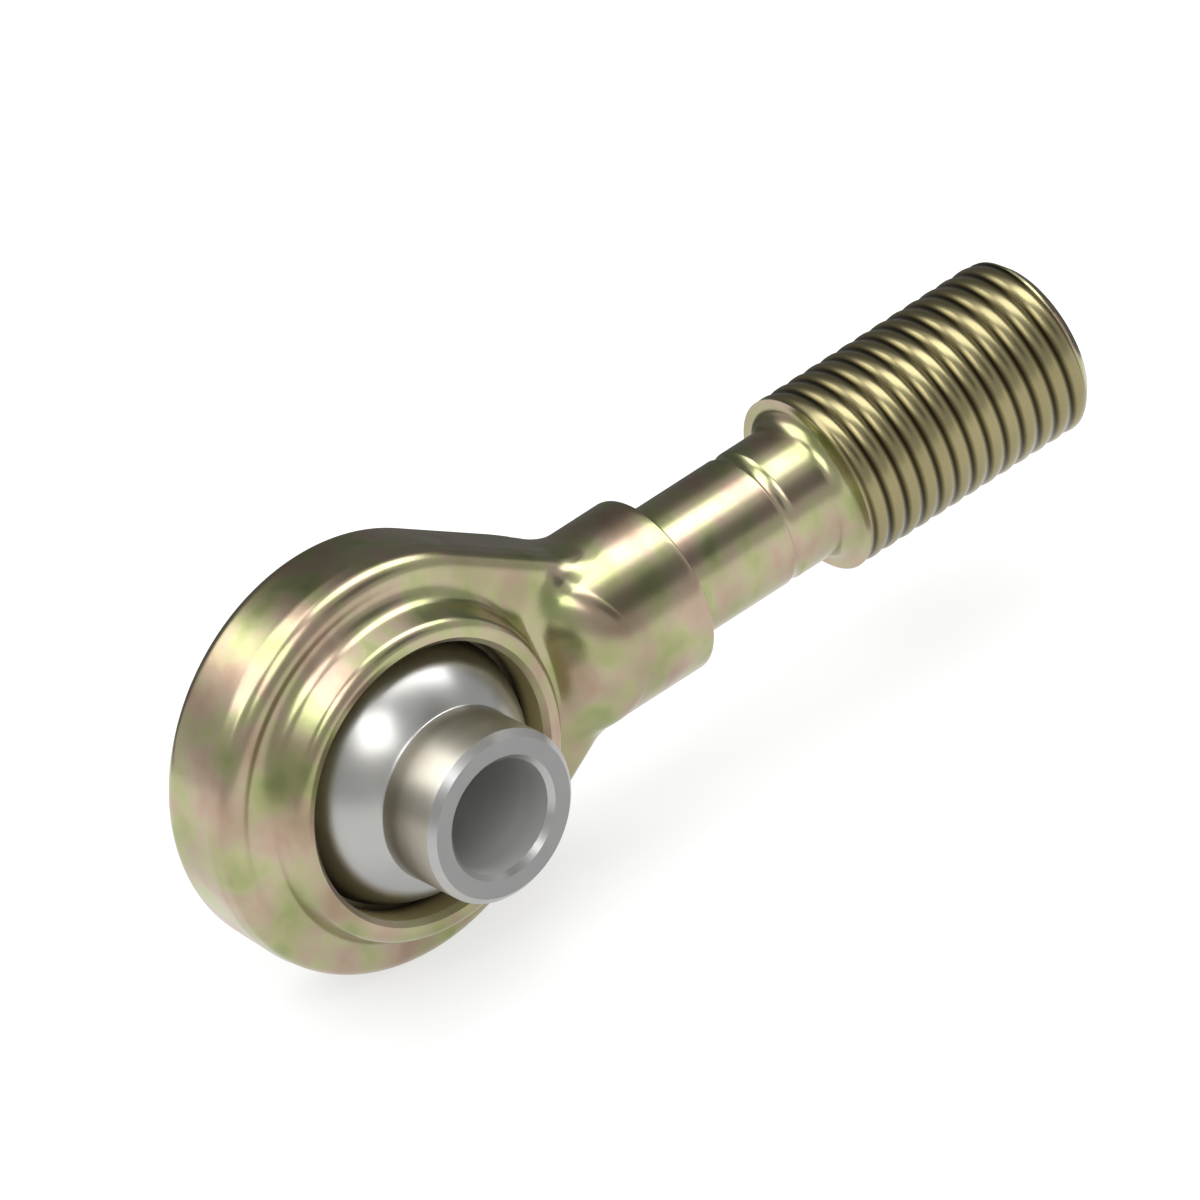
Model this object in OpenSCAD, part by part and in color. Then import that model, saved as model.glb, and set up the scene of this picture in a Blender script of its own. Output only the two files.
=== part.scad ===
// Link end: a forged eye with a swivelling ball and a threaded shank, for the
// end of an adjustable link. The origin is the centre of the ball. The shank
// runs along +X, and the face that carries the raised boss looks towards -Y.

/* [Head] */
// Diameter of the head at the parting line of the forging
head_d = 51.3; // [49:0.1:56]
// Depth from the bore centre to the flat front face
plate_front = 3.65; // [3:0.05:4.5]
// Depth from the bore centre to the rear face
plate_rear = 9.12; // [8.6:0.02:10.4]
// Draft of the forged walls
draft = 4; // [2:0.5:6]
// Rounding along the edges of the head
edge_r = 2.1; // [1:0.1:2.8]

/* [Boss] */
// Depth from the bore centre to the flat of the lip
boss_front = 9.14; // [8.6:0.02:10.4]
// Radius of the lip's flat where its outer rounding starts
lip_r = 18.42; // [18:0.02:19.4]
// Outer rounding of the lip
lip_round = 1.18; // [0.6:0.02:1.6]
// Slope of the boss wall away from the bore axis
boss_slope = 15.5; // [8:0.5:20]
// Fillet where the boss meets the front face
boss_fillet = 1.9; // [1:0.1:2.2]

/* [Taper to the shank] */
// Angle of each side of the head to the shank axis
side_angle = 33.5; // [30:0.5:38]
// Fillet where a side of the head runs into the collar
side_fillet = 8; // [5:0.5:9]
// Distance from the bore centre to the foot of the ramp
ramp_foot = 20.2; // [19.8:0.1:21.5]
// Half width of the ramp at its foot
ramp_half_w = 13; // [11.5:0.1:13.4]
// Rounding of the ramp's corners, seen along the bore
ramp_corner = 3.4; // [2:0.1:5]
// Distance from the bore centre to the top of the ramp
ramp_top = 30.9; // [29:0.1:34]
// How far the top edge of the ramp leans back for each millimetre of height
ramp_lean = 0.58; // [0.3:0.02:0.7]

/* [Shank] */
// Diameter of the collar behind the head
collar_d = 22; // [20:0.5:24]
// Distance from the bore centre to the collar's shoulder
collar_end = 40.9; // [39:0.1:60]
// Broken edge on the collar's shoulder
collar_edge = 0.35; // [0.1:0.05:1]
// Diameter of the turned neck
neck_d = 16.5; // [14:0.1:18.5]
// Length of the neck between the two shoulders
neck_l = 23.7; // [19:0.1:60]
// Fillet at the root of the thread's shoulder
neck_fillet = 2.05; // [0.5:0.05:2.5]
// Distance from the collar's shoulder to the ring groove
ring_start = 14.5; // [4:0.1:15.5]
// Width of the ring groove in the neck
ring_w = 1.9; // [1:0.1:2.4]
// Depth of the ring groove in the neck
ring_depth = 0.25; // [0.1:0.05:0.4]
// Outer diameter of the thread
thread_d = 22; // [20:0.5:24]
// Length of the thread before its end chamfer
thread_l = 32.7; // [20:0.1:80]
// End chamfer of the thread
thread_chamfer = 1.28; // [0.5:0.02:2]

/* [Ball] */
// Diameter of the ball
ball_d = 33.5; // [32.8:0.1:33.8]
// Overall width of the ball over its two stubs
ball_w = 43.72; // [38:0.02:50]
// Diameter of the stubs
stub_d = 21.2; // [18:0.1:23]
// Chamfer on the rim of each stub
stub_chamfer = 0.8; // [0.3:0.05:1.2]
// Fillet where each stub meets the ball
stub_fillet = 0.35; // [0.2:0.05:1]
// Diameter of the hole through the ball
bore_d = 14; // [12:0.1:16]
// Chamfer on each mouth of the hole
bore_chamfer = 0.65; // [0.2:0.05:1]

/* [Seat] */
// Diameter of the opening in the head on both sides of the ball
opening_d = 33.62; // [33:0.02:34.2]
// Chamfer on the rim of each opening
opening_chamfer = 0.66; // [0.3:0.02:0.8]
// Width of the race ring
race_w = 9.1; // [7:0.1:9.6]
// Thickness of the race ring at its middle
race_wall = 1.68; // [1.4:0.02:2.4]
// Chamfer on the race ring's outer edges
race_edge = 0.3; // [0.1:0.05:0.6]
// Width of the slit that lets the race ring spring over the ball
race_slit = 0.5; // [0.3:0.1:1]
// Running clearance between the ball and its seat
seat_gap = 0.05; // [0.03:0.01:0.1]
// Clearance of the race ring in its groove
race_gap = 0.02; // [0.01:0.01:0.05]

/* [Hidden] */
zinc_yellow = [0.62, 0.56, 0.42];
dark_steel = [0.40, 0.39, 0.37];
bright_steel = [0.78, 0.78, 0.79];
$fn = 96;
hull_fn = 32;
over = 1;
// Small overlap that lets one surface cross another where they would only touch
skin = 0.03;
bite = 0.005;

head_r = head_d / 2;
ball_r = ball_d / 2;
stub_r = stub_d / 2;
bore_r = bore_d / 2;
opening_r = opening_d / 2;
collar_r = collar_d / 2;
neck_r = neck_d / 2;
thread_r = thread_d / 2;
seat_r = ball_r + seat_gap;
race_r = seat_r + race_wall;
race_half = race_w / 2;
groove_r = race_r + race_gap;
groove_half = race_half + race_gap;
thread_start = collar_end + neck_l;
thread_end = thread_start + thread_l;
shank_end = thread_end + thread_chamfer;
// Radius inside which the head is bored out in any case
core_r = opening_r - over;
// Direction from the bore axis to the line where a straight side touches the head
touch_angle = 90 - side_angle;
// Where the two straight sides would meet on the shank axis
sides_meet = head_r / cos(touch_angle);
side_end = ramp_top + (sides_meet - ramp_top) / 2;

// A point at distance r from p, in direction a
function polar(p, r, a) = p + r * [cos(a), sin(a)];

// Outline of the plate from its middle to its edge, with drafted walls that
// meet at the parting line and rounded front and rear edges
module plate_outline(inner) {
    rear_c = [edge_c(edge_r - plate_rear), edge_r - plate_rear];
    front_c = [edge_c(plate_front - edge_r), plate_front - edge_r];
    polygon([
        [inner, -plate_rear],
        [rear_c[0], -plate_rear],
        polar(rear_c, edge_r - bite, -draft),
        [head_r, 0],
        polar(front_c, edge_r - bite, draft),
        [front_c[0], plate_front],
        [inner, plate_front]
    ]);
    translate(rear_c) circle(edge_r);
    translate(front_c) circle(edge_r);
}
// Radius of the centre of an edge rounding that lies at this height
function edge_c(z) = head_r - abs(z) * tan(draft) - edge_r / cos(draft);

// Outline of the boss: sloping wall, fillet at its foot, rounded lip
module boss_outline() {
    lip_c = [lip_r, boss_front - lip_round];
    wall_top = polar(lip_c, lip_round, boss_slope);
    foot_z = plate_front + boss_fillet;
    foot_wall = wall_top[0] + (wall_top[1] - foot_z) * tan(boss_slope);
    foot_c = [foot_wall + boss_fillet / cos(boss_slope), foot_z];
    wall_foot = polar(foot_c, boss_fillet - bite, 180 + boss_slope);
    difference() {
        polygon([
            [core_r, plate_front - edge_r],
            [foot_c[0], plate_front - edge_r],
            [foot_c[0], plate_front],
            wall_foot,
            wall_top,
            [lip_r, boss_front],
            [core_r, boss_front]
        ]);
        translate(foot_c) circle(boss_fillet);
    }
    translate(lip_c) circle(lip_round);
}

// The round part of the head, from one straight side round to the other
module round_head() {
    rotate([0, 0, touch_angle])
        rotate_extrude(angle = 360 - 2 * touch_angle)
            plate_outline(core_r);
}

// Everything inside one straight side of the head, with the same edge as the
// round part
module side_slab() {
    rotate([0, 0, touch_angle])
        rotate([90, 0, 0])
            linear_extrude(sides_meet)
                plate_outline(-head_r);
}

// The part of the head between its straight sides
module taper() {
    intersection() {
        side_slab();
        mirror([0, 1, 0]) side_slab();
        translate([0, -head_r, -plate_rear - over])
            cube([side_end, head_d, plate_rear + plate_front + 2 * over]);
    }
}

// The domed ramp from the faces of the plate up to the round collar
module ramp() {
    corner = [ramp_foot + ramp_corner, ramp_half_w - ramp_corner];
    crease_foot = ramp_top - ramp_lean * collar_r;
    hull() {
        difference() {
            translate([crease_foot, 0, 0])
                rotate([0, 90, 0])
                    cylinder(r = collar_r + skin, h = ramp_top + over - crease_foot, $fn = 2 * hull_fn);
            for (side = [0, 1])
                mirror([0, 0, side])
                    translate([crease_foot, 0, 0])
                        rotate([0, atan(ramp_lean), 0])
                            translate([-collar_d, -collar_d, 0])
                                cube([collar_d, 2 * collar_d, 2 * collar_d]);
        }
        for (side = [-1, 1])
            translate([corner[0], side * corner[1], skin - plate_rear])
                cylinder(r = ramp_corner, h = plate_rear + plate_front - 2 * skin, $fn = hull_fn);
    }
}

// Fillet between a straight side and the collar, turned with the shank and
// kept within the thickness of the plate
module side_fillets() {
    turn = side_fillet * tan(side_angle / 2);
    corner = sides_meet - collar_r / tan(side_angle);
    fillet_c = [corner + turn, collar_r + side_fillet];
    inset = polar(fillet_c, side_fillet, 270 - side_angle);
    intersection() {
        rotate([90, 0, 90])
            rotate_extrude()
                difference() {
                    polygon([
                        [collar_r - over, inset[0]],
                        [inset[1], inset[0]],
                        [collar_r, fillet_c[0]],
                        [collar_r - over, fillet_c[0]]
                    ]);
                    translate([fillet_c[1], fillet_c[0]]) circle(side_fillet);
                }
        translate([0, -head_r, edge_r - plate_rear])
            cube([collar_end, head_d, plate_rear + plate_front - 2 * edge_r]);
    }
}

// Collar, neck and thread turned in one, from the top of the ramp outwards
module turned_shank() {
    fillet_x = thread_start - neck_fillet;
    ring_r = ring_w * ring_w / (8 * ring_depth) + ring_depth / 2;
    ring_x = collar_end + ring_start + ring_w / 2;
    rotate([90, 0, 90])
        rotate_extrude()
            difference() {
                polygon([
                    [0, ramp_top],
                    [collar_r, ramp_top],
                    [collar_r, collar_end - collar_edge],
                    [collar_r - collar_edge, collar_end],
                    [neck_r, collar_end],
                    [neck_r, fillet_x],
                    [neck_r + neck_fillet, thread_start],
                    [thread_r, thread_start],
                    [thread_r, thread_end],
                    [thread_r - thread_chamfer, shank_end],
                    [0, shank_end]
                ]);
                translate([neck_r + neck_fillet, fillet_x]) circle(neck_fillet);
                translate([neck_r - ring_depth + ring_r, ring_x]) circle(ring_r);
            }
}

// Room for the ball: an opening right through, chamfered on both faces, with
// a groove for the race ring round its middle
module housing() {
    rotate_extrude()
        polygon([
            [0, -plate_rear - over],
            [opening_r + opening_chamfer + over, -plate_rear - over],
            [opening_r, opening_chamfer - plate_rear],
            [opening_r, -groove_half],
            [groove_r, -groove_half],
            [groove_r, groove_half],
            [opening_r, groove_half],
            [opening_r, boss_front - opening_chamfer],
            [opening_r + opening_chamfer + over, boss_front + over],
            [0, boss_front + over]
        ]);
}

// Head and shank, one forging, drawn with the bore upright and then laid down
module body() {
    color(zinc_yellow)
        rotate([90, 0, 0])
            difference() {
                union() {
                    round_head();
                    taper();
                    rotate_extrude() boss_outline();
                    ramp();
                    side_fillets();
                    turned_shank();
                }
                housing();
            }
}

// Split ring with a spherical inside, sprung into the groove of the head
module race() {
    color(dark_steel)
        rotate([90, 0, 0])
            difference() {
                rotate_extrude()
                    difference() {
                        polygon([
                            [core_r - over, -race_half],
                            [race_r - race_edge, -race_half],
                            [race_r, race_edge - race_half],
                            [race_r, race_half - race_edge],
                            [race_r - race_edge, race_half],
                            [core_r - over, race_half]
                        ]);
                        circle(seat_r);
                    }
                translate([-race_r - over, -race_slit / 2, -race_half - over])
                    cube([race_r, race_slit, race_w + 2 * over]);
            }
}

// Outline of the ball and its stubs on one side of the bore axis. Each root
// fillet bites a little into the ball, so that the two surfaces cross
module ball_outline() {
    half = ball_w / 2;
    fillet_x = stub_r + stub_fillet;
    fillet_z = sqrt(pow(ball_r + stub_fillet - bite, 2) - pow(fillet_x, 2));
    circle(ball_r);
    for (side = [0, 1])
        mirror([0, side])
            difference() {
                polygon([
                    [0, 0],
                    [fillet_x * 0.9, fillet_z * 0.9],
                    [fillet_x, fillet_z],
                    [stub_r, fillet_z],
                    [stub_r, half - stub_chamfer],
                    [stub_r - stub_chamfer, half],
                    [0, half]
                ]);
                translate([fillet_x, fillet_z]) circle(stub_fillet);
            }
}

// Ball with a stub on each side, turned from one bar and drilled through
module ball() {
    half = ball_w / 2;
    color(bright_steel)
        rotate([90, 0, 0])
            rotate_extrude()
                difference() {
                    intersection() {
                        ball_outline();
                        translate([0, -half])
                            square([ball_r, ball_w]);
                    }
                    polygon([
                        [-over, -half - over],
                        [bore_r + bore_chamfer + over, -half - over],
                        [bore_r, bore_chamfer - half],
                        [bore_r, half - bore_chamfer],
                        [bore_r + bore_chamfer + over, half + over],
                        [-over, half + over]
                    ]);
                }
}

body();
race();
ball();
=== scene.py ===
import math

import bmesh
import bpy
import numpy as np
from mathutils import Matrix, Vector


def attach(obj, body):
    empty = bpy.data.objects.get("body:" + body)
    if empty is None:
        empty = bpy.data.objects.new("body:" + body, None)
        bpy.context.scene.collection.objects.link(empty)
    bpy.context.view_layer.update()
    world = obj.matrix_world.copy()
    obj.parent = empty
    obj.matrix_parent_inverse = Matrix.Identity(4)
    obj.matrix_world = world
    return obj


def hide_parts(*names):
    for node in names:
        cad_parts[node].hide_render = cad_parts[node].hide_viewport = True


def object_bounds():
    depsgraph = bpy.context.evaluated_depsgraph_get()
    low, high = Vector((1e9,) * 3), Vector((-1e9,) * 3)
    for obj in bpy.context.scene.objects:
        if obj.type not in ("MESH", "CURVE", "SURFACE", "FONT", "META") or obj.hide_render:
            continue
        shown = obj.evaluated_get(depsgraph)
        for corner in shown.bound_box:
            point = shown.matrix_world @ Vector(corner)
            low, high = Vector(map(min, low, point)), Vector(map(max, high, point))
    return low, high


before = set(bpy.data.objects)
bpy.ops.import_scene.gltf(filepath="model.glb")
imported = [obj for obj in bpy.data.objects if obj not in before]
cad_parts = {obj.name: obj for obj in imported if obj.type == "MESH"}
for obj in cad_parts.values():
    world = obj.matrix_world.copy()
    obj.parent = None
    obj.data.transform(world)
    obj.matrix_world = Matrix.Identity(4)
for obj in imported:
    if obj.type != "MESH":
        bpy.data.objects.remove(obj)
cad_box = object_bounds()


# Body: one steel forging, plated yellow zinc. The head with its boss, the tapering sides and the dome are
# forged; the collar, neck and thread are turned from the same blank. Sizes are in mm from the centre of
# the ball: x along the shank, y across it and f forward along the bore.
head_r = 25.65
front_face = 3.65
rear_face = 9.12
draft = math.radians(4)
edge_round = 2.1
boss_top = 9.14
lip_r = 18.42
lip_round = 1.18
boss_slope = math.radians(15.5)
boss_fillet = 1.9
opening_r = 16.81
opening_chamfer = 0.66
groove_r = 18.50
groove_half = 4.57
side_angle = math.radians(33.5)
collar_r = 11.0
collar_end = 40.9
side_fillet = 1.33
face_fillet = 1.83
face_fillet_from = 2.4
face_fillet_over = 1.6
rear_narrowing = 0.9
narrowed_to = 33.0
rear_edge_round = 2.0
dome_at = 23.8
dome_lean = 0.58
dome_r = 11.08
dome_l = 5.4
dome_fullness = 2.2

# The sides leave the round head where its edge turns to their angle
touch_angle = math.pi / 2 - side_angle


def rounded_max(a, b, radius):
    """Two faces that meet in a rounded edge."""
    over = np.hypot(np.maximum(a + radius, 0), np.maximum(b + radius, 0))
    return over + np.minimum(np.maximum(a, b) + radius, 0) - radius


def filleted_min(a, b, radius):
    """Two solids that meet in a fillet."""
    reach = np.hypot(np.maximum(radius - a, 0), np.maximum(radius - b, 0))
    return np.maximum(np.minimum(a, b), radius) - reach


def plate(x, y, f):
    """How far a point is outside the forged plate: a round head and two sides, drafted from f = 0."""
    y = np.abs(y)
    straight = x * math.cos(touch_angle) + y * math.sin(touch_angle)
    across = np.where(np.arctan2(y, x) > touch_angle, np.hypot(x, y), straight)
    wall = (across - head_r + np.abs(f) * math.tan(draft)) * math.cos(draft)
    face = np.maximum(f - front_face, -f - rear_face)
    return rounded_max(wall, face, edge_round)


def boss(x, y, f):
    """How far a point is outside the raised boss: a slightly conical wall with a rounded lip."""
    leant = np.hypot(x, y) * math.cos(boss_slope) + f * math.sin(boss_slope)
    lip = lip_r * math.cos(boss_slope) + (boss_top - lip_round) * math.sin(boss_slope)
    return np.maximum(rounded_max(leant - lip - lip_round, f - boss_top, lip_round), -f)


def dome_and_collar(x, y, f):
    """How far a point is outside the collar and the egg-shaped dome on its end, which leans back."""
    # The three small least values only keep the divisions away from zero, deep inside the egg
    bar = np.hypot(y, f)
    along = x - dome_lean * np.abs(f)
    wide = bar / dome_r
    far = np.abs(along - dome_at) / dome_l
    size = np.maximum((wide ** dome_fullness + far ** dome_fullness) ** (1 / dome_fullness), 0.05)
    out = (wide / size) ** (dome_fullness - 1) / dome_r
    back = (far / size) ** (dome_fullness - 1) / dome_l * np.sign(dome_at - along)
    lean = dome_lean * np.abs(f) / np.maximum(bar, 0.5)
    steepness = np.sqrt(out ** 2 + 2 * out * back * lean + back ** 2 * (1 + dome_lean ** 2))
    egg = (size - 1) / np.maximum(steepness, 0.04)
    collar = np.maximum(bar - collar_r, (dome_at - along) / math.hypot(1, dome_lean))
    return np.minimum(egg, collar)


def forging(x, y, f):
    """How far a point is outside the whole forging, below 0 inside it."""
    cone = np.hypot(y, f) - collar_r - rear_narrowing * np.maximum(narrowed_to - x, 0)
    head = rounded_max(plate(x, y, f), cone / math.hypot(1, rear_narrowing), rear_edge_round)
    head = filleted_min(head, boss(x, y, f), boss_fillet)
    over_face = np.clip((f - face_fillet_from) / face_fillet_over, 0, 1)
    over_face = over_face ** 2 * (3 - 2 * over_face)
    fillet = side_fillet + (face_fillet - side_fillet) * over_face
    return filleted_min(head, dome_and_collar(x, y, f), fillet)


# The skin is a grid: its columns start on the rim of the opening and end where the front and rear meet at
# f = 0, or on the collar, where the turned shank takes over
head_columns = 104
side_columns = 34
collar_columns = 16
shank_columns = 37
shank_from = 38.5
front_rows_count = 78
rear_rows_count = 46

# Its points are found along rays out of the middle of the wall, which start at a depth of their own on
# each side, and are then spaced anew
wall_middle_r = 18.5
wall_depth = 7.0
front_low = 1.0
rear_low = 4.0
rays = 420
swing_part = 0.45
swing_to = math.radians(45)
ray_steps = 70
mm_a_radian = 2.2
smoothings = 3


def column_ends():
    """Where the columns end over y > 0, from the back of the head to the shank, and their way out there."""
    ends = []
    for turn in np.linspace(math.pi, touch_angle, head_columns, endpoint=False):
        way = (math.cos(turn), math.sin(turn))
        ends.append(((head_r * way[0], head_r * way[1]), way))
    out = (math.cos(touch_angle), math.sin(touch_angle))
    touch = (head_r * out[0], head_r * out[1])
    meet = (head_r / out[0] - collar_r / math.tan(side_angle), collar_r)
    for part in np.linspace(0, 1, side_columns, endpoint=False):
        ends.append(((touch[0] + part * (meet[0] - touch[0]), touch[1] + part * (meet[1] - touch[1])), out))
    for part in np.linspace(0, 1, collar_columns, endpoint=False):
        lean = side_angle * (1 - min(1, part * 3))
        ends.append(((meet[0] + part * (shank_from - meet[0]), collar_r), (math.sin(lean), math.cos(lean))))
    return ends


def spaced(traces, count):
    """Puts the points of each trace anew, close together where it bends."""
    step = np.diff(traces, axis=1)
    length = np.linalg.norm(step, axis=-1)
    way = step / np.maximum(length, 1e-9)[..., None]
    bend = np.zeros_like(length)
    bend[:, 1:] = np.arccos(np.clip((way[:, 1:] * way[:, :-1]).sum(-1), -1, 1))
    measure = np.concatenate([np.zeros((len(traces), 1)), np.cumsum(length + mm_a_radian * bend, axis=1)], 1)
    for _ in range(smoothings):
        measure[1:-1] = (measure[:-2] + 2 * measure[1:-1] + measure[2:]) / 4
    out = np.empty((len(traces), count, 3))
    for trace, at, spot in zip(traces, measure, out):
        wanted = np.linspace(0, at[-1], count)
        for axis in range(3):
            spot[:, axis] = np.interp(wanted, at, trace[:, axis])
    return out


def skin(sign, top, low, rows):
    """Half of the front (sign 1) or rear (-1) skin, each point found along a ray out of the wall's middle."""
    ends = [((x, y, 0.0), (u, v, 0.0)) for (x, y), (u, v) in column_ends()]
    flat_columns = len(ends)
    for turn in np.linspace(0, math.pi / 2, shank_columns):
        way = (0.0, math.cos(turn), sign * math.sin(turn))
        ends.append(((shank_from, collar_r * way[1], collar_r * way[2]), way))
    end = np.array([e[0] for e in ends])
    out = np.array([e[1] for e in ends])
    depth = np.full((len(ends), 1), wall_depth)
    depth[flat_columns:] = collar_r
    round_head = np.linspace(math.pi, touch_angle, head_columns, endpoint=False)
    start = np.concatenate([round_head, np.linspace(touch_angle, 0, len(ends) - head_columns)])
    radial = np.stack([np.cos(start), np.sin(start), np.zeros_like(start)], -1)
    up = np.array([0.0, 0.0, sign])
    rim_r = opening_r + opening_chamfer

    # The rays swing up from the rim first, then run along the wall's middle and turn outward
    part = np.linspace(0, 1, rays)
    swing = np.clip(part / swing_part, 0, 1)[None, :, None]
    run = np.clip((part - swing_part) / (1 - swing_part), 0, 1)[None, :, None]
    to_rim = math.atan2(top - low, rim_r - wall_middle_r) - 0.01
    tilt = to_rim * (1 - swing) + swing_to * swing
    way = (radial[:, None] * np.cos(tilt) + up * np.sin(tilt)) * (1 - run) + out[:, None] * run
    way /= np.linalg.norm(way, axis=-1, keepdims=True)
    base = (radial * wall_middle_r + up * low)[:, None] * (1 - run) + (end - out * depth)[:, None] * run
    reach = np.zeros(base.shape[:2])
    for _ in range(ray_steps):
        spot = base + way * reach[..., None]
        reach -= forging(spot[..., 0], spot[..., 1], spot[..., 2])
    spot = base + way * reach[..., None]
    spot[:, 0] = radial * rim_r + up * top
    return start, spaced(spot, rows), flat_columns


def both_sides(half):
    """A skin over y > 0 with its mirror image over y < 0, as one ring of columns."""
    return np.concatenate([half, half[1:-1][::-1] * np.array([1, -1, 1])])


verts = []
faces = []


def add_points(points):
    """Adds points to the mesh and gives their numbers."""
    first = len(verts)
    verts.extend(tuple(p) for p in points)
    return list(range(first, len(verts)))


def join_rows(a, b):
    """Closes the gap between two rings of points with faces."""
    for i in range(len(a)):
        j = (i + 1) % len(a)
        faces.append((a[i], a[j], b[j], b[i]))


start, half_front, flat_columns = skin(1, boss_top, front_low, front_rows_count)
half_rear = skin(-1, rear_face, rear_low, rear_rows_count)[1]
front = both_sides(half_front)
rear = both_sides(half_rear)
columns = len(front)
front_rows = [add_points(front[:, r]) for r in range(front.shape[1])]
rear_rows = [add_points(rear[:, r]) for r in range(rear.shape[1])]
for c in range(columns):
    if min(c, columns - c) <= flat_columns:
        rear_rows[-1][c] = front_rows[-1][c]
for a, b in zip(front_rows, front_rows[1:]):
    join_rows(a, b)
for a, b in zip(rear_rows, rear_rows[1:]):
    join_rows(b, a)

# The opening goes right through, with a groove for the race round its middle
turns = np.concatenate([start, -start[1:-1][::-1]])
before = front_rows[0]
for r, f in (
    (opening_r, boss_top - opening_chamfer),
    (opening_r, groove_half),
    (groove_r, groove_half),
    (groove_r, -groove_half),
    (opening_r, -groove_half),
    (opening_r, opening_chamfer - rear_face),
):
    row = add_points([(r * math.cos(t), r * math.sin(t), f) for t in turns])
    join_rows(row, before)
    before = row
join_rows(rear_rows[0], before)

# Collar, neck and shoulder, turned; the first ring is where the skin ends on the collar
neck_r = 8.25
neck_end = 64.6
neck_fillet = 2.05
collar_edge = 0.35
foot_fillet = 0.25
ring_from = 55.4
ring_w = 1.9
ring_depth = 0.25
collar_row_gap = 0.8
neck_row_gap = 1.1
close_row_gap = 0.1
ring = front_rows[-1][flat_columns:columns - flat_columns + 1]
ring += rear_rows[-1][columns - flat_columns - 1:flat_columns:-1]
around = len(ring)


def turned_row(x, radii):
    """A ring of points round the shank, in step with the columns of the skin."""
    turns = [2 * math.pi * i / around for i in range(around)]
    return add_points([(x, r * math.cos(t), r * math.sin(t)) for t, r in zip(turns, radii)])


def arc(x, y, radius, start, end, count):
    """Points on an arc round a centre, between two angles in degrees."""
    turns = np.radians(np.linspace(start, end, count))
    return [(x + radius * math.cos(t), y + radius * math.sin(t)) for t in turns]


profile = [(x, collar_r) for x in np.linspace(shank_from + collar_row_gap, collar_end - collar_edge, 3)[:-1]]
profile += arc(collar_end - collar_edge, collar_r - collar_edge, collar_edge, 90, 0, 4)
profile += arc(collar_end + foot_fillet, neck_r + foot_fillet, foot_fillet, 180, 270, 4)
profile += [(x, neck_r) for x in np.linspace(collar_end + neck_row_gap, ring_from - close_row_gap, 9)]
ring_arc = ring_w ** 2 / (8 * ring_depth) + ring_depth / 2
ring_turn = math.degrees(math.asin(ring_w / 2 / ring_arc))
ring_middle = (ring_from + ring_w / 2, neck_r - ring_depth + ring_arc)
profile += arc(*ring_middle, ring_arc, 270 - ring_turn, 270 + ring_turn, 13)
after_ring = np.linspace(ring_from + ring_w + close_row_gap, neck_end - neck_fillet - close_row_gap, 4)
profile += [(x, neck_r) for x in after_ring]
profile += arc(neck_end - neck_fillet, neck_r + neck_fillet, neck_fillet, 270, 360, 12)
before = ring
for x, r in profile:
    row = turned_row(x, [r] * around)
    join_rows(row, before)
    before = row

# Thread: a right-hand helix with round crests. The photograph shows its silhouette almost straight, so
# its grooves are drawn 0.32 mm deep, not the 1.5 mm of a real one.
thread_r = 11.0
thread_end = 97.3
thread_depth = 0.32
run_in = 0.8
shank_end = 98.58
pitch = 2.5
rows_a_turn = 12
crest_width = 1.3
cone_row_gap = 0.25
end_face_radii = (6.5, 3.0)


def thread_radius(x, part):
    """Radius of the thread at x, a part of a turn round."""
    off_crest = np.abs((((x - neck_end) / pitch - part) % 1) - 0.5) * 2
    cut = 0.5 - 0.5 * np.cos(math.pi * off_crest ** crest_width)
    return thread_r - thread_depth * cut * np.clip((x - neck_end) / run_in, 0, 1)


shoulder = turned_row(neck_end, [thread_r] * around)
join_rows(shoulder, before)
rows = np.arange(rows_a_turn * (int((thread_end - neck_end) / pitch) + 3))
strands = []
for i in range(around + 1):
    part = i / around
    turn = 2 * math.pi * part
    x = np.clip(neck_end + pitch * (part - 1 + rows / rows_a_turn), neck_end, thread_end)
    radii = thread_radius(x, part)
    strands.append(add_points([(a, r * math.cos(turn), r * math.sin(turn)) for a, r in zip(x, radii)]))
for a, b in zip(strands, strands[1:]):
    for i in range(len(a) - 1):
        faces.append((a[i], a[i + 1], b[i + 1], b[i]))
before = [s[-1] for s in strands[:-1]]
for x in np.linspace(thread_end + cone_row_gap, shank_end, 5):
    cone = thread_r - (x - thread_end)
    row = turned_row(x, [min(thread_radius(x, i / around), cone) for i in range(around)])
    join_rows(row, before)
    before = row
for r in end_face_radii:
    row = turned_row(shank_end, [r] * around)
    join_rows(row, before)
    before = row
faces.append(tuple(before[::-1]))

join_within_m = 2e-6
sharp_forging_edge = math.radians(38)
mesh = bpy.data.meshes.new("forging")
mesh.from_pydata([(x / 1000, -f / 1000, y / 1000) for x, y, f in verts], [], faces)
body = bpy.data.objects.new("forging", mesh)
bpy.context.collection.objects.link(body)
form = bmesh.new()
form.from_mesh(mesh)
bmesh.ops.remove_doubles(form, verts=form.verts[:], dist=join_within_m)
bmesh.ops.recalc_face_normals(form, faces=form.faces[:])
for face in form.faces:
    face.smooth = True
form.to_mesh(mesh)
form.free()
mesh.set_sharp_from_angle(angle=sharp_forging_edge)


def linear(hex_colour):
    """An sRGB hex colour as the linear values that a shader takes."""
    parts = [int(hex_colour[i:i + 2], 16) / 255 for i in (1, 3, 5)]
    return [p / 12.92 if p <= 0.04045 else ((p + 0.055) / 1.055) ** 2.4 for p in parts] + [1.0]


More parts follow.
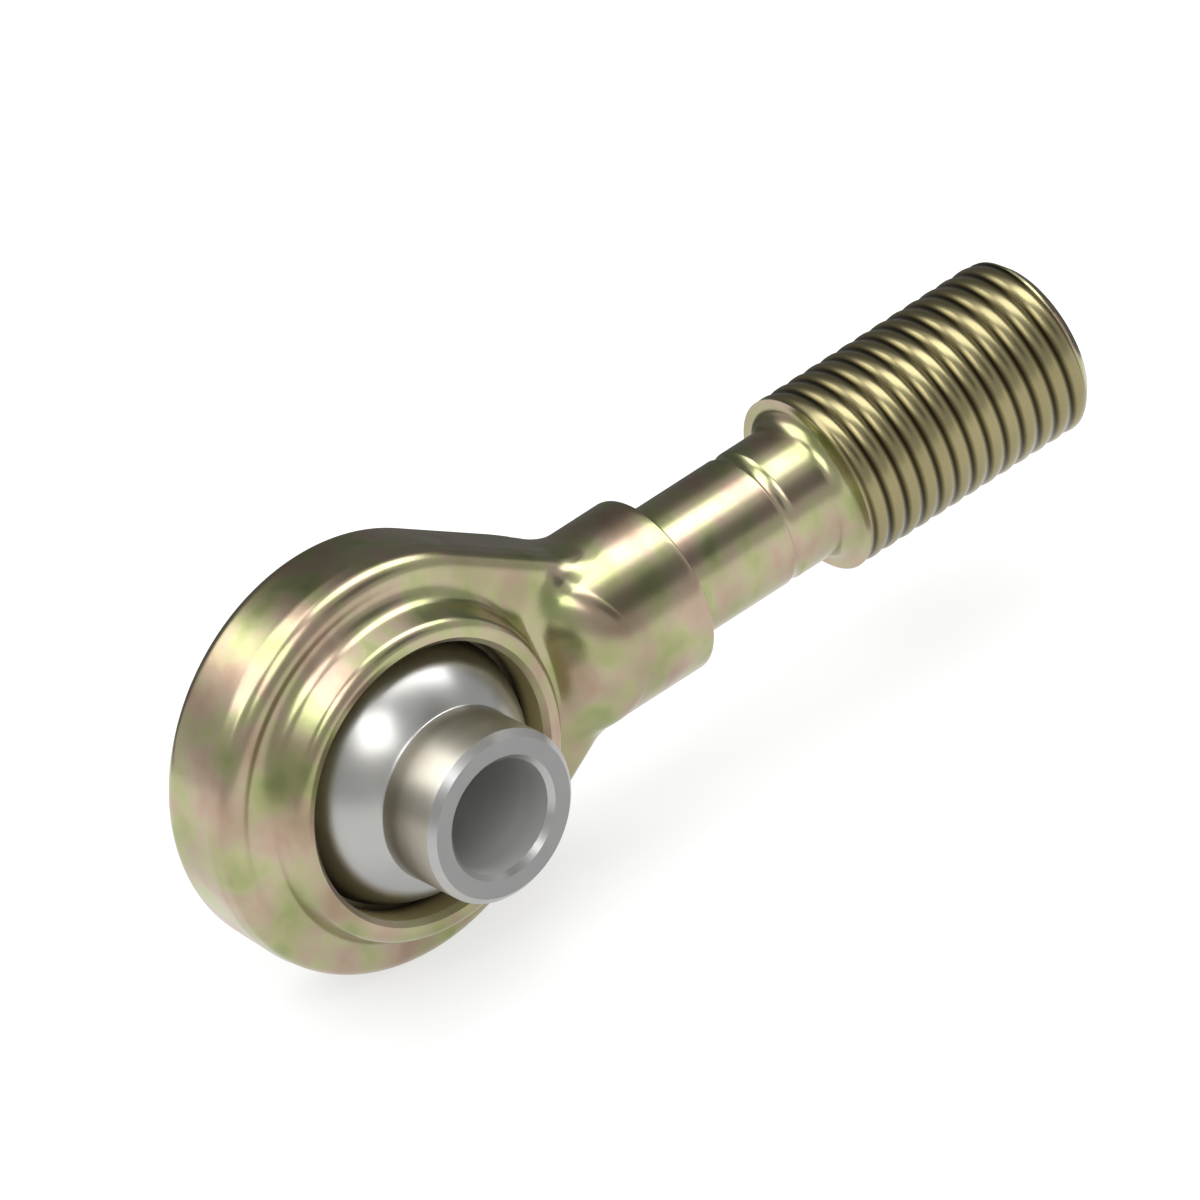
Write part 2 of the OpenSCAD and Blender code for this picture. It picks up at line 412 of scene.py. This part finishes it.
def node(material, kind, inputs=None, settings=None, stops=()):
    """Adds a shader node with its settings and ramp stops, and fills its inputs with values or links."""
    made = material.node_tree.nodes.new(kind)
    for name, value in (settings or {}).items():
        setattr(made, name, value)
    for name, value in (inputs or {}).items():
        if isinstance(value, bpy.types.NodeSocket):
            material.node_tree.links.new(value, made.inputs[name])
        else:
            made.inputs[name].default_value = value
    for i, (at, colour) in enumerate(stops):
        if i > 1:
            made.color_ramp.elements.new(at)
        made.color_ramp.elements[i].position = at
        made.color_ramp.elements[i].color = linear(colour)
    return made


# The gloss drifts by this part of itself with the spots. The grain of these surfaces is too fine to show,
# so it is drawn 0.3 to 0.6 mm wide.
gloss_drift = 0.08
grain_strength = 0.15
grain_height_mm = 0.02


def metal(name, metallic, roughness, spot_mm, stops, grain_mm, stretch=(1.0, 1.0, 1.0)):
    """A metal whose tint and gloss drift in spots of a size, with a fine grain; stretch sets their shape."""
    material = bpy.data.materials.new(name)
    material.use_nodes = True
    shader = material.node_tree.nodes["Principled BSDF"]
    shader.inputs["Metallic"].default_value = metallic
    place = node(material, "ShaderNodeTexCoord").outputs["Object"]
    place = node(material, "ShaderNodeMapping", {"Vector": place, "Scale": stretch}).outputs["Vector"]
    spots = node(material, "ShaderNodeTexNoise", {"Vector": place, "Scale": 1000 / spot_mm, "Detail": 2.5})
    spots = spots.outputs["Fac"]
    tint = node(material, "ShaderNodeValToRGB", {"Fac": spots}, stops=stops)
    tint.color_ramp.interpolation = "B_SPLINE"
    gloss = {"Value": spots, "From Min": 0.3, "From Max": 0.7}
    gloss |= {"To Min": roughness * (1 - gloss_drift), "To Max": roughness * (1 + gloss_drift)}
    gloss = node(material, "ShaderNodeMapRange", gloss).outputs["Result"]
    grain = node(material, "ShaderNodeTexNoise", {"Vector": place, "Scale": 1000 / grain_mm, "Detail": 2.0})
    grain = {"Height": grain.outputs["Fac"], "Strength": grain_strength, "Distance": grain_height_mm / 1000}
    bump = node(material, "ShaderNodeBump", grain).outputs["Normal"]
    for socket, output in (("Base Color", tint.outputs["Color"]), ("Roughness", gloss), ("Normal", bump)):
        material.node_tree.links.new(output, shader.inputs[socket])
    return material, shader, tint.outputs["Color"]


def cloud_and_shade_darkening(material, shader, tint, value, stops):
    """Darkens a metal's tint with a second ramp, by a value from 0 to 1: random clouds on the plating,
    painted shade in the thread's roots and deep in the opening.
    """
    darkening = node(material, "ShaderNodeValToRGB", {"Fac": value}, stops=stops).outputs["Color"]
    multiply = {"data_type": "RGBA", "blend_type": "MULTIPLY"}
    # A Mix node's colour sockets are its inputs 6 and 7 and its output 2
    mixed = node(material, "ShaderNodeMix", {0: 1.0, 6: tint, 7: darkening}, multiply)
    material.node_tree.links.new(mixed.outputs[2], shader.inputs["Base Color"])


# Yellow zinc plating, dipped over the forging: glossy, its tint drifting from pale green to straw and pink
# in soft blotches of about 7 mm, a little darker in clouds of 11 mm
tones = [(0.28, "#96A06E"), (0.42, "#B0AF84"), (0.50, "#AFA88A"), (0.58, "#B7A490"), (0.72, "#AC9482")]
plating, shader, tint = metal("yellow_zinc_plating", 1.0, 0.25, 6.7, tones, 0.6, (1.5, 1.0, 1.0))
place = node(plating, "ShaderNodeTexCoord").outputs["Object"]
cloud = {"Vector": place, "Scale": 1000 / 11, "Detail": 2.0, "W": 3.0}
cloud = node(plating, "ShaderNodeTexNoise", cloud, {"noise_dimensions": "4D"}).outputs["Fac"]
cloud_and_shade_darkening(plating, shader, tint, cloud, [(0.35, "#E0E0D6"), (0.60, "#FFFFFF")])

# Yellow zinc on the thread: brassier, and darkened in the roots by painted shade, which draws each turn
tones = [(0.35, "#9A916C"), (0.65, "#8F8764")]
brassy, shader, tint = metal("yellow_zinc_on_thread", 1.0, 0.27, 11.0, tones, 0.4)
place = node(brassy, "ShaderNodeTexCoord").outputs["Object"]
spot = node(brassy, "ShaderNodeSeparateXYZ", {"Vector": place})
across = node(brassy, "ShaderNodeCombineXYZ", {"Y": spot.outputs["Y"], "Z": spot.outputs["Z"]})
radius = node(brassy, "ShaderNodeVectorMath", {0: across.outputs["Vector"]}, {"operation": "LENGTH"})
height = {"Value": radius.outputs["Value"]}
height |= {"From Min": (thread_r - thread_depth) / 1000, "From Max": thread_r / 1000}
height = node(brassy, "ShaderNodeMapRange", height).outputs["Result"]
# Painted shade: the tint darkens towards the roots of the thread
cloud_and_shade_darkening(brassy, shader, tint, height, [(0.0, "#4A463C"), (0.3, "#B0ACA2"), (0.7, "#FFFFFF")])

# Yellow zinc in the opening: matt from the boring tool, and darkened to black towards the race by painted
# shade, from the groove's edge outward
painted_shade_full = 4.6
painted_shade_gone = 6.2
tones = [(0.35, "#BCB07C"), (0.65, "#B0A070")]
bored, shader, tint = metal("yellow_zinc_in_opening", 0.3, 0.5, 5.0, tones, 0.4)
place = node(bored, "ShaderNodeTexCoord").outputs["Object"]
spot = node(bored, "ShaderNodeSeparateXYZ", {"Vector": place})
off_race = node(bored, "ShaderNodeMath", {0: spot.outputs["Y"]}, {"operation": "ABSOLUTE"})
height = {"Value": off_race.outputs["Value"], "From Min": painted_shade_full / 1000, "From Max": painted_shade_gone / 1000}
height = node(bored, "ShaderNodeMapRange", height).outputs["Result"]
# Painted shade: the tint darkens to near black deep in the opening, near the race
cloud_and_shade_darkening(bored, shader, tint, height, [(0.0, "#30281C"), (1.0, "#FFFFFF")])

margin = 0.02
for material in (plating, brassy, bored):
    mesh.materials.append(material)
for face in mesh.polygons:
    off_axis = math.hypot(face.center.x, face.center.z) * 1000
    if neck_end + margin < face.center.x * 1000 < thread_end + margin:
        face.material_index = 1
    elif off_axis < groove_r and abs(face.center.y) * 1000 < rear_face - opening_chamfer:
        face.material_index = 2
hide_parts("body")
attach(body, "link")


# Race: a split ring of hardened steel, ground to a sphere inside and sprung into the groove of the eye,
# where it holds the ball. It is dark with grease, and only a thin line of it shows.
seat_r = 16.8
race_r = 18.48
race_half = 4.55
race_edge = 0.3
race_slit = 0.5
sharp_turned_edge = math.radians(25)


def turned(name, outline, count, gap=0.0):
    """A closed outline of (radius, f) points turned round the bore, open by a gap in radians round -x."""
    form = bmesh.new()
    rings = []
    for i in range(count + (1 if gap else 0)):
        turn = math.pi + gap / 2 + (2 * math.pi - gap) * i / count
        out = (math.cos(turn) / 1000, math.sin(turn) / 1000)
        rings.append([form.verts.new((r * out[0], -f / 1000, r * out[1])) for r, f in outline])
    pairs = list(zip(rings, rings[1:]))
    if not gap:
        pairs.append((rings[-1], rings[0]))
    for a, b in pairs:
        for i in range(len(outline)):
            j = (i + 1) % len(outline)
            form.faces.new((a[i], a[j], b[j], b[i]))
    if gap:
        form.faces.new(rings[0])
        form.faces.new(rings[-1])
    bmesh.ops.recalc_face_normals(form, faces=form.faces[:])
    for face in form.faces:
        face.smooth = True
    made = bpy.data.meshes.new(name)
    form.to_mesh(made)
    form.free()
    made.set_sharp_from_angle(angle=sharp_turned_edge)
    piece = bpy.data.objects.new(name, made)
    bpy.context.collection.objects.link(piece)
    return piece


seat_turn = math.degrees(math.asin(race_half / seat_r))
outline = arc(0, 0, seat_r, -seat_turn, seat_turn, 17)
outline += [(race_r - race_edge, race_half), (race_r, race_half - race_edge)]
outline += [(race_r, race_edge - race_half), (race_r - race_edge, -race_half)]
race = turned("race_ring", outline, 180, race_slit / seat_r)

# Greased hardened steel: dark brown-grey with a dull gloss, mottled where the film is thin
greased = metal("greased_hardened_steel", 1.0, 0.35, 3.3, [(0.35, "#4A4436"), (0.65, "#5C5544")], 0.3)[0]
race.data.materials.append(greased)
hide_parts("race")
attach(race, "link")


# Ball: turned from one bar of bearing steel with a stub on each side, drilled and reamed through,
# chamfered, then ground and polished where it runs in the race.
ball_r = 16.75
stub_r = 10.6
stub_fillet = 0.35
stub_chamfer = 0.8
bore_r = 7.0
bore_chamfer = 0.65
half_w = 21.86
bore_row = 10.0

# The fillet's centre lies off the ball and off the stub by its own radius
root_f = math.sqrt((ball_r + stub_fillet) ** 2 - (stub_r + stub_fillet) ** 2)
root_turn = math.degrees(math.atan2(root_f, stub_r + stub_fillet))
side = arc(0, 0, ball_r, 0, root_turn, 40)
side += arc(stub_r + stub_fillet, root_f, stub_fillet, 180 + root_turn, 180, 8)[1:]
side += [(stub_r, f) for f in np.linspace(root_f + 1, half_w - stub_chamfer, 6)]
side += [(stub_r - stub_chamfer, half_w), (bore_r + bore_chamfer, half_w)]
side += [(bore_r, half_w - bore_chamfer), (bore_r, bore_row)]
ball = turned("ball_and_stubs", side + [(r, -f) for r, f in side[:0:-1]], 240)

# Polished bearing steel: neutral, with a soft wide gloss. The reamed bore is matter, the faced stub ends are
# a darker grey, and the stubs' sides are a little warmer, a painted reflection of the yellow plating beside
# them, with turning marks round them; the marks are 0.3 mm apart, coarser than the real ones.
round_it = (0.04, 1.0, 0.04)
polished = metal("polished_bearing_steel", 1.0, 0.3, 6.3, [(0.35, "#A8A8A8"), (0.65, "#B0AFAA")], 0.3)[0]
reamed = metal("reamed_steel", 0.4, 0.5, 2.5, [(0.35, "#C0C0BE"), (0.65, "#C8C8C6")], 0.3, round_it)[0]
faced = metal("faced_steel", 1.0, 0.32, 3.3, [(0.35, "#8A8A8A"), (0.65, "#8F8F8E")], 0.3)[0]
# Painted reflection: the stubs' sides are tinted warm as if mirroring the yellow plating
turned_side = metal("turned_steel", 1.0, 0.32, 2.0, [(0.35, "#ABA79C"), (0.65, "#B2AEA4")], 0.3, round_it)[0]
for material in (polished, reamed, faced, turned_side):
    ball.data.materials.append(material)
for face in ball.data.polygons:
    if math.hypot(face.center.x, face.center.z) * 1000 < bore_r + margin:
        face.material_index = 1
    elif abs(face.normal.y) > 0.99:
        face.material_index = 2
    elif abs(face.center.y) * 1000 > root_f and abs(face.normal.y) < 0.1:
        face.material_index = 3
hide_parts("ball")
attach(ball, "ball")


# Camera: a long lens from the front, the left and above, drawn as parallel. Its three directions were fitted
# to the ellipses of the lip, the stub and the thread, and the scale to the thread's diameter. The middle of
# the photograph lies to the right of the ball's centre and over it.
frame_px = 1200
mm_a_pixel = 0.113875
middle_right = 0.02480
middle_up = 0.01791
right = Vector((0.74951, -0.63216, -0.19648))
up = Vector((0.48146, 0.31684, 0.81720))
toward = Vector((-0.45435, -0.70710, 0.54183))
aim = middle_right * right + middle_up * up
eye = aim + toward
camera = bpy.data.objects.new("camera", bpy.data.cameras.new("camera"))
bpy.context.collection.objects.link(camera)
camera.data.type = "ORTHO"
camera.data.ortho_scale = frame_px * mm_a_pixel / 1000
camera.data.clip_start = 0.01
camera.data.clip_end = 20.0
camera.matrix_world = Matrix((
    (right.x, up.x, toward.x, eye.x),
    (right.y, up.y, toward.y, eye.y),
    (right.z, up.z, toward.z, eye.z),
    (0, 0, 0, 1),
))
bpy.context.scene.camera = camera
bpy.context.scene.view_settings.view_transform = "Standard"


# Floor: a wide sheet of white paper under the lowest edge of the head. It glows a little to the camera and in
# reflections, so that it looks white without more light on the object, and it keeps the object's shadow.
floor_z = cad_box[0].z
floor_reach = 6.0
paper_glow = 0.68


def flat(name, place, across, along, width, length):
    """A flat sheet with its middle at a place, its sides along two directions."""
    sheet = bpy.data.meshes.new(name)
    corners = [(-0.5, -0.5), (0.5, -0.5), (0.5, 0.5), (-0.5, 0.5)]
    points = [place + across * (i * width) + along * (j * length) for i, j in corners]
    sheet.from_pydata([tuple(p) for p in points], [], [(0, 1, 2, 3)])
    made = bpy.data.objects.new(name, sheet)
    bpy.context.collection.objects.link(made)
    material = bpy.data.materials.new(name)
    material.use_nodes = True
    sheet.materials.append(material)
    shader = material.node_tree.nodes["Principled BSDF"]
    shader.inputs["Specular IOR Level"].default_value = 0.0
    shader.inputs["Roughness"].default_value = 0.9
    return made, material, shader


x_axis = Vector((1, 0, 0))
y_axis = Vector((0, 1, 0))
z_axis = Vector((0, 0, 1))
_, paper, shader = flat("white_paper", z_axis * floor_z, x_axis, y_axis, 2 * floor_reach, 2 * floor_reach)
shader.inputs["Base Color"].default_value = linear("#9A9A9A")
shader.inputs["Emission Color"].default_value = (1, 1, 1, 1)
path = node(paper, "ShaderNodeLightPath").outputs
largest = {"operation": "MAXIMUM"}
seen = node(paper, "ShaderNodeMath", {0: path["Is Camera Ray"], 1: path["Is Glossy Ray"]}, largest)
seen = node(paper, "ShaderNodeMath", {0: seen.outputs[0], 1: path["Is Transmission Ray"]}, largest)
glow = node(paper, "ShaderNodeMath", {0: seen.outputs[0], 1: paper_glow}, {"operation": "MULTIPLY"})
paper.node_tree.links.new(glow.outputs[0], shader.inputs["Emission Strength"])


# Lamps: a white room and three softboxes, one over the camera's shoulder, one on the left and one overhead.
# They give the broad highlights on the ball, along the shank and over the boss.
room_brightness = 0.6
lamp_distance = 0.9
studio = bpy.data.worlds.new("white_room")
studio.use_nodes = True
studio.node_tree.nodes["Background"].inputs["Color"].default_value = (1, 1, 1, 1)
studio.node_tree.nodes["Background"].inputs["Strength"].default_value = room_brightness
bpy.context.scene.world = studio


def as_seen(side, rise, near):
    """A direction given as the camera sees it: to its right, up, and towards it."""
    return (side * right + rise * up + near * toward).normalized()


def softbox(name, direction, width, height, brightness):
    """A lamp that faces the object from a direction, as bright as given all over, and isn't seen itself."""
    lamp = bpy.data.lights.new(name, "AREA")
    lamp.shape = "RECTANGLE"
    lamp.size = width
    lamp.size_y = height
    lamp.energy = brightness * math.pi * width * height
    box = bpy.data.objects.new(name, lamp)
    bpy.context.collection.objects.link(box)
    box.location = aim + direction * lamp_distance
    box.rotation_mode = "QUATERNION"
    box.rotation_quaternion = direction.to_track_quat("Z", "Y")
    box.visible_camera = False


softbox("key", as_seen(-0.124, 0.325, 0.937), 0.45, 0.5, 3.6)
softbox("left", as_seen(-0.74, 0.62, 0.25), 0.75, 0.75, 3.2)
softbox("overhead", as_seen(0.22, 0.93, 0.25), 0.45, 1.0, 3.6)


# Dark cards, seen only in reflections: they give the metal the dark bands that it has in the photograph,
# along the shank, on the upper wall of the head and on the sides of the thread. One lies on the floor behind
# the object, and one stands on its far edge.
card_distance = 1.1
card_grey = 0.15
floor_card_width = 0.9
lying_middle = 0.185
lying_length = 0.23
standing_height = 0.16
off_floor = 0.0005


def dark_card(name, place, across, along, width, length):
    """A dark grey card that throws no shadow, lights nothing and shows only in reflections."""
    card, _, shader = flat(name, place, across, along, width, length)
    shader.inputs["Base Color"].default_value = (0, 0, 0, 1)
    shader.inputs["Emission Color"].default_value = (card_grey, card_grey, card_grey, 1)
    shader.inputs["Emission Strength"].default_value = 1.0
    card.visible_camera = False
    card.visible_diffuse = False
    card.visible_shadow = False


for name, direction, width, height in (
    ("card_right", as_seen(0.68, 0.45, 0.58), 0.5, 0.5),
    ("card_behind", as_seen(-0.1, 0.78, -0.62), 2.4, 1.15),
):
    across = direction.cross(z_axis).normalized()
    dark_card(name, aim + direction * card_distance, across, across.cross(direction), width, height)
back = Vector((-toward.x, -toward.y, 0)).normalized()
across = back.cross(z_axis)
foot = Vector((0.03, 0, floor_z))
lying = foot + back * lying_middle + z_axis * off_floor
dark_card("card_on_floor", lying, across, back, floor_card_width, lying_length)
standing = foot + back * (lying_middle + lying_length / 2) + z_axis * (standing_height / 2 + 2 * off_floor)
dark_card("card_standing", standing, across, z_axis, floor_card_width, standing_height)
